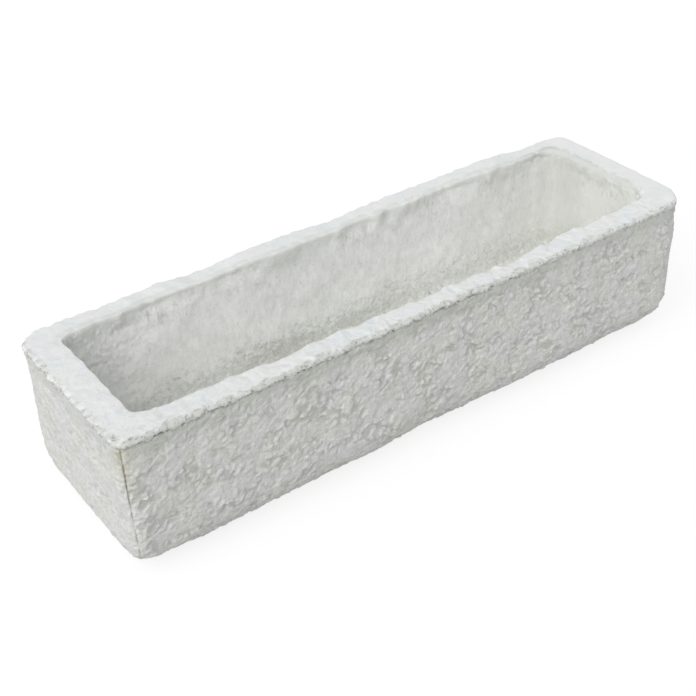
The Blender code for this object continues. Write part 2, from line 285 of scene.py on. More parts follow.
# Where marks in the materials begin and are whole: on the outside, by height, by X and by distance
# from a seam
STRIP_HEIGHTS = (WALL_TOP - 0.024, WALL_TOP - 0.010)
# The joint's dark line, partly painted shadow under the band
JOINT_SHADOW_HEIGHTS = (WALL_TOP - 0.0045, WALL_TOP - 0.0010)
SPARED_END = (-0.394, -0.384)
SEAM_STAIN_REACH = (0.016, 0.001)
SEAM_STAIN_HEIGHTS = (0.10, 0.17)
SEAM_LINE_REACH = (0.0016, 0.0005)
SEAM_LINE_HEIGHTS = (0.05, 0.14)
# On the inside, by height: its stain, the crumbs in it, the painted shade and stain in the cove
# and the floor's own line
STAIN_HEIGHTS = (0.087, 0.063)
CRUMB_HEIGHTS = (0.082, 0.064)
COVE_SHADE_HEIGHTS = (0.064, 0.046)
FLOOR_LINE_HEIGHTS = (0.0385, 0.044)
# Under the lip: painted shade, dirt runs, and a smear with painted light in the near right corner
UNDER_LIP_HEIGHTS = (WALL_TOP - 0.026, WALL_TOP - 0.004)
LIP_DIRT_HEIGHTS = (WALL_TOP - 0.036, WALL_TOP - 0.016)
SMEAR_AND_LIGHT_HEIGHTS = (0.140, 0.172)
# On the band, by height: its painted shade where it rolls over at the right end, and where it laps the back
# wall
ROLL_SHADE_HEIGHTS = (RIM_LOW - 0.010, RIM_LOW - 0.004)
LAPPED_HEIGHTS = (RIM_LOW + 0.001, RIM_LOW + 0.0045)

# The photograph's camera, fitted to the outline of the trough
CAMERA_PLACE = (-0.72773487, -0.99614806, 0.91645094)
CAMERA_AZIMUTH = np.radians(-34.37593)
CAMERA_ELEVATION = np.radians(34.52714)
CAMERA_ROLL = np.radians(-2.61103)
CAMERA_LENS = 63.597
CAMERA_SENSOR = 36.0

# Light and floor
SKY_LEVEL = 0.52
KEY_LEVEL = 2.10
KEY_FROM = (-0.63, -0.30, 0.72)
KEY_SOFTNESS = np.radians(60)
FLOOR_SHADE = 0.68
FLOOR_GLOW = 1.14
FLOOR_GLOW_SHARE = 0.72
FLOOR_REACH = 12.0


def eased(share):
    """A smooth rise from 0 to 1: 3t^2 - 2t^3 of a share t, level beyond its ends."""
    share = np.clip(share, 0, 1)
    return share * share * (3 - 2 * share)


def smooth_step(value, low, high):
    """0 at low, 1 at high and a smooth rise between."""
    return eased((value - low) / (high - low))


def unevenness(points):
    """How far a cast face lies below true: between nothing and the whole depth.

    Waves of unlike length run in directions that the golden angle spreads over a sphere. The tanh
    of their sum, over the root of half their number, is brought between 0 and 1. It fades out
    towards the wall tops and the ground, where the faces are true."""
    index = np.arange(UNEVEN_WAVES)
    turn = GOLDEN_TURN * index
    level = 1 - (2 * index + 1) / UNEVEN_WAVES
    flat = np.sqrt(1 - level**2)
    directions = np.stack((flat * np.cos(turn), flat * np.sin(turn), level))
    lengths = np.geomspace(*UNEVEN_LENGTHS, UNEVEN_WAVES)
    waves = np.cos(FULL_TURN * (points @ directions) / lengths + turn).sum(axis=-1)
    below = UNEVEN_DEPTH * (1 + np.tanh(waves / np.sqrt(UNEVEN_WAVES / 2))) / 2
    height = points[..., -1]
    return below * eased((WALL_TOP - height) / UNEVEN_FADE) * eased(height / FOOT_HEIGHT)


def drawn_foot(points, outward):
    """How far the foot of the casting is drawn in: bell curves about the front wall's hollow and
    about the front left corner, fading up the wall and down to the flat underside."""
    along, across, height = np.moveaxis(points, -1, 0)
    low = eased(height / FOOT_HEIGHT) * eased((HIGH_HEIGHT - height) / (HIGH_HEIGHT - LOW_HEIGHT))
    hollow = np.exp(-(((along - HOLLOW_OFFSET) / HOLLOW_REACH) ** 2)) * eased(-outward[..., 1])
    corner = np.hypot(along + LENGTH / 2, across + WIDTH / 2)
    return low * (HOLLOW_DEPTH * hollow + PINCH_DEPTH * np.exp(-((corner / PINCH_REACH) ** 2)))


def wave_field(along, up, waves, count, seed, turned=FIELD_TURN):
    """A rolling field of unit spread on two surface lengths.

    It is the sum of plane waves, cos(2 pi (along cos h + up sin h) / w + p), each with its own
    wavelength w between the shortest and the longest, a heading h within a turn of 0 and a random
    phase p, divided by the root of half their number."""
    draw = np.random.default_rng(seed)
    lengths = draw.uniform(*waves, count)
    headings = turned * draw.uniform(-1, 1, count)
    phases = draw.uniform(0, FULL_TURN, count)
    total = np.zeros(np.broadcast(along, up).shape)
    for length, angle, phase in zip(lengths, headings, phases):
        total += np.cos(FULL_TURN * (along * np.cos(angle) + up * np.sin(angle)) / length + phase)
    return total * np.sqrt(2 / count)


def wave_line(along, waves, seed):
    """A rolling line of unit spread: a wave field on one length."""
    return wave_field(along, 0 * along, waves, LINE_WAVES, seed, LINE_TURN)


def facet_field(points, waves, count, seed):
    """Flat facets with creases between them: the mean of triangle waves in random directions.

    A triangle wave of a place p is |2 frac(p . k + phase) - 1|, so its sums are made of planes."""
    draw = np.random.default_rng(seed)
    directions = draw.standard_normal((count, points.shape[-1]))
    directions /= np.linalg.norm(directions, axis=1, keepdims=True)
    lengths = draw.uniform(*waves, count)
    phases = draw.uniform(0, 1, count)
    total = np.zeros(points.shape[:-1])
    for direction, length, phase in zip(directions, lengths, phases):
        total += np.abs(2 * ((points @ direction / length + phase) % 1) - 1)
    return 2 * total / count - 1


def cells_about(along, up, size, heading, reach_ahead, reach_aside, traits):
    """The cells about each point of two surface lengths: a grid of this size, turned to the heading.

    Gives, for each neighbour in reach, how far the point lies ahead and aside of the cell's random
    centre, in cells, and the cell's other random traits. A cell's traits repeat past the last."""
    ahead = (along * np.cos(heading) + up * np.sin(heading)) / size[0]
    aside = (up * np.cos(heading) - along * np.sin(heading)) / size[1]
    column = np.floor(ahead).astype(int)
    row = np.floor(aside).astype(int)
    for step_ahead in range(-reach_ahead, reach_ahead + 1):
        for step_aside in range(-reach_aside, reach_aside + 1):
            here = column + step_ahead
            there = row + step_aside
            far, off, *others = traits[:, here % CELLS, there % CELLS]
            yield ahead - here - far, aside - there - off, others


def stroke_field(along, up, size, seed, heading=0.0, spread=QUARTER_TURN):
    """Short raised strokes that lie over each other, as on a struck surface: from 0 to 1.

    Each cell of a turned grid holds one stroke at a random place: an ellipse with its own heading,
    length, width and height, which rises by a power of 1 - r^2. A point takes the highest of the
    strokes in the cells about it."""
    traits = np.random.default_rng(seed).random((6, CELLS, CELLS))
    length, width = size
    (long_least, long_more), (wide_least, wide_more), (tall_least, tall_more) = STROKE_SHARES
    highest = np.zeros(np.broadcast(along, up).shape)
    for far, off, (turn, long, wide, tall) in cells_about(along, up, size, heading, 1, 2, traits):
        far = far * length
        off = off * width
        angle = spread * (2 * turn - 1)
        half_length = length * (long_least + long_more * long)
        half_width = width * (wide_least + wide_more * wide)
        far_turned = (far * np.cos(angle) + off * np.sin(angle)) / half_length
        off_turned = (off * np.cos(angle) - far * np.sin(angle)) / half_width
        inside = np.clip(1 - far_turned**2 - off_turned**2, 0, 1)
        highest = np.maximum(highest, (tall_least + tall_more * tall) * inside**STROKE_ROUNDNESS)
    return highest


def plate_field(along, up, size, heading, seed):
    """Tilted plates, about from 0 to 1, and how far each point is from a crease, from 0 to 1.

    Each cell of a turned grid has a random centre and a plate of its own height and slopes. A point
    takes the mean of the plates about it, weighted by exp(-s d^2) of its distance d from their
    centres, and a crease runs where two are equally near."""
    traits = np.random.default_rng(seed).random((5, CELLS, CELLS))
    total, weight = np.zeros((2, *np.broadcast(along, up).shape))
    nearest, second = np.full((2, *total.shape), np.inf)
    for far, off, (tall, slope_ahead, slope_aside) in cells_about(along, up, size, heading, 1, 1, traits):
        distance = np.hypot(far, off)
        share = np.exp(-PLATE_SHARPNESS * distance**2)
        total += share * (tall + PLATE_SLOPE * ((slope_ahead - 0.5) * far + (slope_aside - 0.5) * off))
        weight += share
        second = np.minimum(second, np.maximum(nearest, distance))
        nearest = np.minimum(nearest, distance)
    return total / np.maximum(weight, 1e-9), smooth_step(second - nearest, 0, CREASE_SHARE)


class Plan:
    """Columns of points round a rounded rectangle, seen from above, anticlockwise.

    They start at the middle of the front left corner's arc. The seams are the columns at the middle
    of each corner's arc, in the order front left, front right, back right and back left."""

    def __init__(self, radii, step, growth):
        arcs = QUARTER_TURN * (np.asarray(radii) + growth) / step
        self.arc_steps = [2 * max(2, round(count / 2)) for count in arcs]
        end_steps = round((WIDTH - 2 * SIDE_WALL) / step)
        side_steps = round((LENGTH - 2 * END_WALL) / step)
        self.straight = (end_steps, side_steps, end_steps, side_steps)
        starts = np.cumsum([0] + [a + s for a, s in zip(self.arc_steps, self.straight)])
        middles = np.array([start + steps // 2 for start, steps in zip(starts, self.arc_steps)])
        self.columns = starts[-1]
        self.first = middles[-1]
        self.seams = np.sort((middles - self.first) % self.columns)

    def rings(self, end_insets, side_insets, radii):
        """Rounded rectangles, one for each pair of insets, as rows x columns x 2, and the outward
        directions of the columns. Each arc has even angles and each straight has even runs."""
        half_length = LENGTH / 2 - np.asarray(end_insets)
        half_width = WIDTH / 2 - np.asarray(side_insets)
        radii = np.minimum(radii, CORNER_LIMIT_SHARE * half_width[:, None])
        arcs, directions = [], []
        for index, (side_x, side_y, start) in enumerate(CORNERS):
            radius = radii[:, index]
            angle = start + QUARTER_TURN * np.linspace(0, 1, self.arc_steps[index] + 1)
            direction = np.column_stack((np.cos(angle), np.sin(angle)))
            centre = np.stack((side_x * (half_length - radius), side_y * (half_width - radius)), -1)
            arcs.append(centre[:, None] + radius[:, None, None] * direction)
            directions.append(direction)
        points, outward = [], []
        for index, steps in enumerate(self.straight):
            here = arcs[index][:, -1:]
            there = arcs[(index + 1) % len(arcs)][:, :1]
            share = (np.arange(1, steps) / steps)[None, :, None]
            points += [arcs[index], here + (there - here) * share]
            outward += [directions[index], np.repeat(directions[index][-1:], steps - 1, axis=0)]
        points = np.roll(np.concatenate(points, axis=1), -self.first, axis=1)
        outward = np.roll(np.concatenate(outward), -self.first, axis=0)
        return points, outward


def lengths_round(ring):
    """The length from the first column to each column of one closed ring."""
    steps = np.linalg.norm(np.roll(ring, -1, axis=0) - ring, axis=1)
    return np.cumsum(steps) - steps


def lifted(plan_points, heights):
    """Rows of plan points with a height for each row."""
    rows, columns = plan_points.shape[:2]
    levels = np.broadcast_to(np.asarray(heights)[:, None, None], (rows, columns, 1))
    return np.concatenate((plan_points, levels), axis=2)


def outward_normals(grid, rows_closed=False):
    """Unit normals of a rows x columns grid whose columns close: the cross product of the central
    differences along the rows and up the columns."""
    along = np.roll(grid, -1, axis=1) - np.roll(grid, 1, axis=1)
    if rows_closed:
        up = np.roll(grid, -1, axis=0) - np.roll(grid, 1, axis=0)
    else:
        up = np.gradient(grid, axis=0)
    normals = np.cross(along, up)
    return normals / np.maximum(np.linalg.norm(normals, axis=2, keepdims=True), 1e-12)


def grid_faces(rows, columns, rows_closed, columns_closed):
    """Quads between neighbouring rows and columns of a grid, as an array of point numbers."""
    row, column = np.meshgrid(
        np.arange(rows if rows_closed else rows - 1),
        np.arange(columns if columns_closed else columns - 1),
        indexing="ij",
    )
    above = (row + 1) % rows
    beside = (column + 1) % columns
    corners = (row * columns + column, row * columns + beside,
               above * columns + beside, above * columns + column)
    return np.stack(corners, axis=-1).reshape(-1, 4)


def placed(name, data):
    """A new object in the scene."""
    item = bpy.data.objects.new(name, data)
    bpy.context.scene.collection.objects.link(item)
    return item


def make_piece(name, points, faces, finish, node, marks):
    """A closed mesh object from points and faces, welded, facing outwards and ready to ride."""
    mesh = bpy.data.meshes.new(name)
    mesh.from_pydata(points.reshape(-1, 3).tolist(), [], faces)
    for mark, values in marks.items():
        attribute = mesh.attributes.new(mark, "FLOAT", "POINT")
        attribute.data.foreach_set("value", values.ravel().astype(np.float32))
    body = bmesh.new()
    body.from_mesh(mesh)
    bmesh.ops.remove_doubles(body, verts=body.verts, dist=WELD_DISTANCE)
    if body.calc_volume(signed=True) < 0:
        bmesh.ops.reverse_faces(body, faces=body.faces)
    body.to_mesh(mesh)
    body.free()
    mesh.shade_smooth()
    mesh.set_sharp_from_angle(angle=SHARP_ANGLE)
    mesh.materials.append(finish)
    piece = placed(name, mesh)
    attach(piece, "root")
    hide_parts(node)
    return piece


def through(knots, places):
    """Straight runs between listed knots, softened over their neighbours."""
    spots, values = np.array(knots).T
    return sum(np.interp(places + shift * KNOT_SOFTNESS, spots, values) for shift in (-1, 0, 1)) / 3


def turned_to(outward, x, y):
    """0 to 1 for each column: how squarely it faces the way x, y."""
    return smooth_step(outward @ (x, y), 0.3, 1)


def mouth_reach(plan_points, outward):
    """How far the mortar reaches inwards past the wall, for each column of the mouth."""
    along_x = plan_points[:, 0]
    front = through(FRONT_REACH, along_x) * turned_to(outward, 0, -1)
    crumbs = CRUMB_DEPTH * wave_line(along_x, CRUMB_WAVES, 55)
    back = (BACK_LAP_SHARE * through(BACK_REACH, along_x) + crumbs - BACK_SETBACK) * turned_to(outward, 0, 1)
    scallops = np.abs(np.sin(FULL_TURN * lengths_round(plan_points) / END_SCALLOP_LENGTH))
    ends = END_REACH - END_SCALLOP_DEPTH * scallops
    return front + back + ends * np.abs(outward[:, 0])


def end_draw(plan_points, outward):
    """How far the right end falls short at its top, most of all in the front corner."""
    faces_right = smooth_step(outward[:, 0], 0.1, 0.9)
    near_front = smooth_step(-plan_points[:, 1], 0, CORNER_DRAW_REACH)
    return faces_right * (END_DRAW + CORNER_DRAW * near_front)


def back_dip(plan_points, outward):
    """How far the back of the rim dips and falls short of true, for each column."""
    return through(BACK_DIP, plan_points[:, 0]) * turned_to(outward, 0, 1)


def calm_sides(plan, round_it):
    """How strong the relief is in each column: whole on the long sides and calmer on the ends, with
    a short ramp at each corner but a clean change at the front left one. The far end of the front
    is calmer too."""
    front_right, back_right, back_left = round_it[plan.seams[1:]]
    spots = (front_right - FAR_CALM_REACH[0], front_right - FAR_CALM_REACH[1],
             front_right - CORNER_RAMP, front_right + CORNER_RAMP, back_right - CORNER_RAMP,
             back_right + CORNER_RAMP, back_left - CORNER_RAMP, back_left + CORNER_RAMP)
    shares = (1, FAR_CALM_SHARE, FAR_CALM_SHARE, END_CALM_SHARE, END_CALM_SHARE, 1, 1, END_CALM_SHARE)
    return np.interp(round_it, spots, shares)


def hammered(grid, along, up, strength):
    """The relief of the walls above their plain faces, and its shape alone.

    It is the sum of tilted plates and their creases, strokes, knobs and broad facets on bent surface
    lengths. Plates and strokes climb where they start round the trough and fall halfway round,
    because a sine is taken off the height. Below the rim the relief is calmer, with dents, and it
    fades out round the foot."""
    whole = along[0, -1] + OUTER_STEP
    climb = STROKE_DRIFT * whole / FULL_TURN * np.sin(FULL_TURN * along / whole)
    bend_along = BEND_ALONG * wave_field(along, up, BEND_WAVES, 20, 13)
    bend_up = BEND_UP * wave_field(along, up, BEND_WAVES, 20, 15)
    bent = along + bend_along, up + bend_up - climb
    strokes = stroke_field(*bent, STROKE_SIZE, 3, STROKE_HEADING, STROKE_SPREAD) - STROKE_MEAN
    knobs = smooth_step(stroke_field(*bent, KNOB_SIZE, 5), 0.30, 0.85) - KNOB_MEAN
    plates, uncreased = plate_field(*bent, PLATE_SIZE, STROKE_HEADING, 9)
    plates = plates - PLATE_MEAN
    crease = smooth_step(wave_field(along, up, CREASE_WAVES, 24, 11), -0.1, 1.1) * (1 - uncreased)
    dents = stroke_field(along, up, DENT_SIZE, 41)
    facets = facet_field(grid, FACET_WAVES, 8, 29)
    busy = 0.76 + 0.28 * np.tanh(1.6 * wave_field(along, up, BUSY_WAVES, 24, 7))
    busy = busy * strength
    below_rim = up[-1, 0] - up
    strip = 1 - smooth_step(below_rim, 0.4 * CALM_STRIP, CALM_STRIP)
    foot = smooth_step(up, *RELIEF_FOOT)
    height = STROKE_HEIGHT * strokes + KNOB_HEIGHT * knobs + PLATE_HEIGHT * plates - CREASE_DEPTH * crease
    height = (height * busy + FACET_HEIGHT * facets) * (1 - 0.45 * strip) * foot
    height -= DENT_DEPTH * strip * smooth_step(dents, 0.45, 0.95)
    height -= TOP_SINK * (1 - smooth_step(below_rim, 0, TOP_SINK_REACH))
    # Its shape marks creases and crests, which the outside colour turns into painted shade and painted
    # highlight
    shape = 0.75 * strokes + 0.50 * knobs + 0.50 * plates - 0.60 * crease
    return height, shape * busy * foot


def make_outer_skin(finish):
    """The outside of the casting, as the mould's four sides.

    The plan outline is drawn in by the quarter round of the base and lies unevenly, as it was built,
    and the relief moves it along its normals. A groove follows each seam."""
    plan = Plan(OUTSIDE_RADII, OUTER_STEP, 0.006)
    largest = max(SIDE_BASE_ROUNDING, END_BASE_ROUNDING)
    base_rows = round(QUARTER_TURN * largest / OUTER_STEP)
    wall_rows = round((WALL_TOP - largest) / OUTER_STEP)
    turn = QUARTER_TURN * np.arange(base_rows) / base_rows
    walls = np.linspace(largest, WALL_TOP, wall_rows + 1)
    heights = np.concatenate((largest * (1 - np.cos(turn)), walls))
    end_insets = drawn_in(heights, END_BASE_ROUNDING)
    side_insets = drawn_in(heights, SIDE_BASE_ROUNDING)
    radii = OUTSIDE_RADII + CORNER_GROWTH_SHARE * (end_insets + side_insets)[:, None] / 2
    flat, outward = plan.rings(end_insets, side_insets, radii)
    grid = lifted(flat, heights)
    depth = unevenness(grid) + drawn_foot(grid, np.broadcast_to(outward, flat.shape))
    grid[:, :, :2] -= outward[None] * depth[:, :, None]
    near_top = smooth_step(heights, LEAN_FROM, WALL_TOP)[:, None]
    grid[:, :, 0] -= end_draw(flat[-1], outward)[None, :] * near_top
    grid[:, :, 1] -= back_dip(flat[-1], outward)[None, :] * near_top
    normals = outward_normals(grid)
    along = lengths_round(flat[-1])[None, :]
    up = np.concatenate((largest * turn, QUARTER_TURN * largest + walls - largest))[:, None]

    height, shape = hammered(grid, along, up, calm_sides(plan, along[0])[None, :])
    whole = along[0, -1] + OUTER_STEP
    near_seam = np.minimum(along[0], whole - along[0])
    other_seams = np.abs(along[0][:, None] - along[0][plan.seams[1:]]).min(axis=1)
    sharp, faint = np.exp(-((np.stack((near_seam, other_seams)) / SEAM_WIDTH) ** 2))
    groove = SEAM_DEPTH * (sharp + FAINT_SEAM_SHARE * faint)
    height = height - groove[None, :] * smooth_step(up, *SEAM_HEIGHTS)
    grid = grid + normals * height[:, :, None]

    ends = np.array((SHELL, SHELL, END_BASE_ROUNDING))
    sides = np.array((SHELL, SHELL, SIDE_BASE_ROUNDING))
    hidden_radii = OUTSIDE_RADII + CORNER_GROWTH_SHARE * ends[:, None] / 2
    hidden = lifted(plan.rings(ends, sides, hidden_radii)[0], HIDDEN_HEIGHTS[::-1])
    loops = np.concatenate((grid, hidden)).transpose(1, 0, 2)
    relief_marks = np.concatenate((shape, np.zeros((len(hidden), plan.columns)))).T
    seam_marks = np.repeat(near_seam[:, None], loops.shape[1], axis=1)
    wrapped = np.arange(plan.columns + 1) % plan.columns
    sides_from = (*plan.seams, plan.columns)
    names = ("casting_front", "casting_right_end", "casting_back", "casting_left_end")
    for name, first, last in zip(names, sides_from, sides_from[1:]):
        columns = wrapped[first:last + 1]
        part = loops[columns]
        count, around = part.shape[:2]
        faces = grid_faces(count, around, False, True).tolist()
        faces += [list(range(around))[::-1], list(range((count - 1) * around, count * around))]
        marks = {"relief": relief_marks[columns], "seam": seam_marks[columns]}
        make_piece(name, part, faces, finish, "trough_body", marks)


def drawn_in(heights, rounding):
    """How far a quarter-round lower edge of this radius has drawn in at each height."""
    below = np.maximum(rounding - heights, 0)
    return rounding - np.sqrt(rounding**2 - below**2)


def shoulder(depth, outward):
    """How far the mouth's edge has rolled back at a depth below the rim's top: a quarter ellipse,
    small and crisp all round but for the right end, where it is broad."""
    right = smooth_step(outward[:, 0], 0.1, 0.9)
    soft = ROLL_WIDTHS[0] + ROLL_WIDTHS[1] * right
    deep = ROLL_DEPTHS[0] + ROLL_DEPTHS[1] * right
    left = np.clip(1 - depth / deep, 0, 1)
    return soft * (1 - np.sqrt(1 - left**2))


def inside_marks(flat, along, down, outward):
    """The height of the marks on the inside: drags, lumps, chips and pocks, which fade out towards
    the middle of the floor."""
    drag = stroke_field(down, along, DRAG_SIZE, 21, 0, 0.35)
    lumps = wave_field(along, down, LUMP_WAVES, 30, 23)
    chips = stroke_field(along, down, CHIP_SIZE, 25, 0.3)
    pocks = stroke_field(along, down, POCK_SIZE, 43)
    low = smooth_step(down, *LOW_FROM)
    left = smooth_step(-flat[:, :, 0], *LEFT_FROM)
    lip = smooth_step(down, *LIP_FROM) * (1 - smooth_step(down, *LIP_TO))
    lip = lip * np.clip(outward[:, 0] + outward[:, 1], 0, 1)[None, :]
    rough = DRAG_HEIGHT * (drag - 0.4) + LUMP_HEIGHT * lumps
    rough += np.maximum(LOW_CHIP_HEIGHT * low, LEFT_CHIP_HEIGHT * left) * (chips - 0.35)
    rough -= LIP_POCK_DEPTH * lip * smooth_step(pocks, 0.35, 0.9)
    rough -= POCK_DEPTH * smooth_step(pocks, 0.90, 0.98)
    return rough * (1 - smooth_step(down, *(down[-1, 0] - np.array(FLOOR_FADE))))


def make_inside(finish):
    """The inside, the floor and the underside of the casting in one closed skin.

    Rings run from the middle of the underside out to its edge, up inside the wall, over its top,
    down the inner face, round the cove and back along the floor to the middle line."""
    plan = Plan(INSIDE_RADII, INNER_STEP, 0.002)
    wall_rows = round((WALL_TOP - FLOOR - COVE_RADIUS) / INNER_STEP)
    cove_rows = round(QUARTER_TURN * COVE_RADIUS / INNER_STEP)
    wall_heights = np.linspace(WALL_TOP, FLOOR + COVE_RADIUS, wall_rows + 1)
    turn = QUARTER_TURN * np.arange(1, cove_rows + 1) / cove_rows
    lean = INSIDE_DRAFT * (WALL_TOP - wall_heights) / (WALL_TOP - FLOOR - COVE_RADIUS)
    inward = np.concatenate((lean, INSIDE_DRAFT + COVE_RADIUS * (1 - np.cos(turn))))
    reach_in = WIDTH / 2 - SIDE_WALL - inward[-1]
    floor_rows = round(reach_in / (1.3 * INNER_STEP))
    floor_share = np.arange(1, floor_rows + 1) / floor_rows
    heights = np.concatenate(
        (wall_heights, FLOOR + COVE_RADIUS * (1 - np.sin(turn)), np.full(floor_rows, FLOOR)))
    inward = np.concatenate((inward, inward[-1] + reach_in * floor_share))
    down = np.concatenate(((0.0,), np.cumsum(np.hypot(np.diff(heights), np.diff(inward)))))[:, None]
    mouth = 1 - smooth_step(down, 0, MOUTH_DEPTH)
    radii = INSIDE_RADII + (MOUTH_RADII - INSIDE_RADII) * mouth
    flat, outward = plan.rings(END_WALL + inward, SIDE_WALL + inward, radii)
    grid = lifted(flat, heights)
    true = unevenness(grid) * eased((heights[:, None] - FLOOR) / COVE_RADIUS)
    normals = -outward_normals(grid[::-1])[::-1]
    along = lengths_round(flat[0])[None, :]
    grid = grid + normals * inside_marks(flat, along, down, outward)[:, :, None]
    give = mouth_reach(flat[0], outward)[None, :] * (1 - smooth_step(down, LIP_FROM[0], CUT_UNDER))
    rolled = np.stack([shoulder(RIM_TOP - height, outward) for height in heights])
    grid[:, :, :2] += outward[None] * (true + rolled - give)[:, :, None]

    share = np.linspace(0, 1, UNDERSIDE_ROWS)
    spare = (WIDTH / 2 - SIDE_BASE_ROUNDING) * (1 - share)
    ends = np.concatenate((END_BASE_ROUNDING + spare, (END_BASE_ROUNDING, SHELL, SHELL)))
    sides = np.concatenate((SIDE_BASE_ROUNDING + spare, (SIDE_BASE_ROUNDING, SHELL, SHELL)))
    growth = CORNER_GROWTH_SHARE * (END_BASE_ROUNDING + SIDE_BASE_ROUNDING) / 2
    shrink = np.concatenate((share, (1, 1, 1)))[:, None]
    levels = np.concatenate((np.zeros(UNDERSIDE_ROWS), HIDDEN_HEIGHTS))
    under = lifted(plan.rings(ends, sides, (OUTSIDE_RADII + growth) * shrink)[0], levels)
    rings = np.concatenate((under, grid))
    faces = grid_faces(len(rings), plan.columns, False, True).tolist()
    # How much painted shade each inside corner takes, none in the front right one
    corner = smooth_step(np.minimum(np.abs(outward[:, 0]), np.abs(outward[:, 1])), 0.0, 0.6)
    corner = corner * (1 - smooth_step(np.minimum(outward[:, 0], -outward[:, 1]), 0.0, 0.3))
    marks = {"corner": np.tile(corner, len(rings))}
    piece = make_piece("casting_inside", rings, faces, finish, "trough_body", marks)
    drill(piece)


def drill(piece):
    """Cuts the drain holes with one Boolean and applies it. Each hole is a little out of round: its
    radius is r (1 + s sin 3a) at an angle a."""
    angle = FULL_TURN * np.arange(DRAIN_SIDES) / DRAIN_SIDES
    points, faces = [], []
    for place in DRAIN_PLACES:
        wobble = DRAIN_RADIUS * (1 + DRAIN_WOBBLE_SHARE * np.sin(3 * angle + 40 * place))
        circle = np.column_stack((place + wobble * np.cos(angle), wobble * np.sin(angle)))
        start = len(points) * DRAIN_SIDES
        points += [np.column_stack((circle, np.full(DRAIN_SIDES, level)))
                   for level in (-0.002, FLOOR + DRAIN_OVERRUN)]
        faces += (grid_faces(2, DRAIN_SIDES, False, True) + start).tolist()
        faces += [list(range(start, start + DRAIN_SIDES))[::-1],
                  list(range(start + DRAIN_SIDES, start + 2 * DRAIN_SIDES))]
    mesh = bpy.data.meshes.new("drain_cutter")
    mesh.from_pydata(np.concatenate(points).tolist(), [], faces)
    cutter = placed("drain_cutter", mesh)
    modifier = piece.modifiers.new("drains", "BOOLEAN")
    modifier.operation = "DIFFERENCE"
    modifier.object = cutter
    graph = bpy.context.evaluated_depsgraph_get()
    cut_mesh = bpy.data.meshes.new_from_object(piece.evaluated_get(graph))
    piece.modifiers.clear()
    piece.data = cut_mesh
    bpy.data.objects.remove(cutter)


